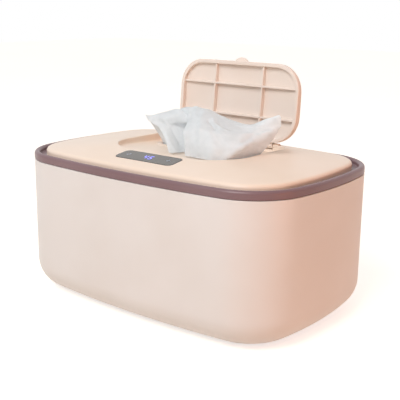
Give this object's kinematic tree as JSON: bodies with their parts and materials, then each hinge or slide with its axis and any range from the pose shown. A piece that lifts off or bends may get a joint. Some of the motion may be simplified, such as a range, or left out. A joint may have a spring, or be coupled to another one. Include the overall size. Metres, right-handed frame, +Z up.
{
  "type": "baby wipe warmer",
  "caption": "Bowed box with a heated wipe tank, a hinged domed cover with a dish, a flip lid over the dispensing slot and a touch panel.",
  "frame": {"origin": "on the floor under the middle of the body", "axes": "+X along the long side, the panel faces -Y, +Z up"},
  "size_m": [0.24, 0.1623, 0.1771],
  "materials": {
    "body_plastic": "fine satin, cream",
    "cover_plastic": "fine satin, cream",
    "ring_plastic": "satin, mauve",
    "inner_plastic": "satin, off-white",
    "foot_rubber": "matt",
    "silicone": "matt, soft",
    "screw_steel": "plated",
    "heat_aluminium": "mill finish",
    "heater_film": "amber film",
    "insulation": "needled felt",
    "dark_plastic": "satin, black",
    "circuit_board": "green board",
    "red_cable": "satin",
    "wipe_cloth": "moist non-woven",
    "magnet_plating": "nickel plated",
    "flat_cable": "satin",
    "window_acrylic": "smoked, polished",
    "lit_figures": "lit blue",
    "printed_marks": "printed",
    "spring_brass": "plain"
  },
  "bodies": {
    "base": {"outer_shell": "body_plastic", "base_plate": "body_plastic", "base_screws": "screw_steel", "rubber_feet": "foot_rubber", "inner_tank": "inner_plastic", "heat_plate": "heat_aluminium", "heating_film": "heater_film", "insulation_pad": "insulation", "temperature_sensor": "dark_plastic", "thermal_fuse": "screw_steel", "board_posts": "body_plastic", "power_board": "circuit_board", "power_parts": "dark_plastic", "dc_jack": "dark_plastic", "base_wires": "red_cable", "wipe_stack": "wipe_cloth", "base_magnets": "magnet_plating", "hinge_pin": "screw_steel", "hinge_ribbon": "flat_cable"},
    "cover": {"trim_ring": "ring_plastic", "top_cover": "cover_plastic", "flip_pin": "screw_steel", "lid_liner": "inner_plastic", "lid_screws": "screw_steel", "lid_seal": "silicone", "slot_collar": "silicone", "panel_window": "window_acrylic", "display_digits": "lit_figures", "touch_marks": "printed_marks", "display_board": "circuit_board", "digit_module": "dark_plastic", "touch_springs": "spring_brass", "lid_wires": "dark_plastic", "lid_magnets": "magnet_plating", "pulled_wipe": "wipe_cloth"},
    "flip": {"flip_lid": "cover_plastic"}
  },
  "joints": [
    {"name": "cover_hinge", "type": "hinge", "parent": "base", "child": "cover", "pos_m": [0, 0.0793, 0.10245], "axis": [-1, 0, 0], "range_deg": [0, 95], "deforming": ["hinge_ribbon"]},
    {"name": "flip_hinge", "type": "hinge", "parent": "cover", "child": "flip", "pos_m": [0, 0.05185, 0.1126], "axis": [1, 0, 0], "range_deg": [0, 92.4], "deforming": ["pulled_wipe"]}
  ]
}
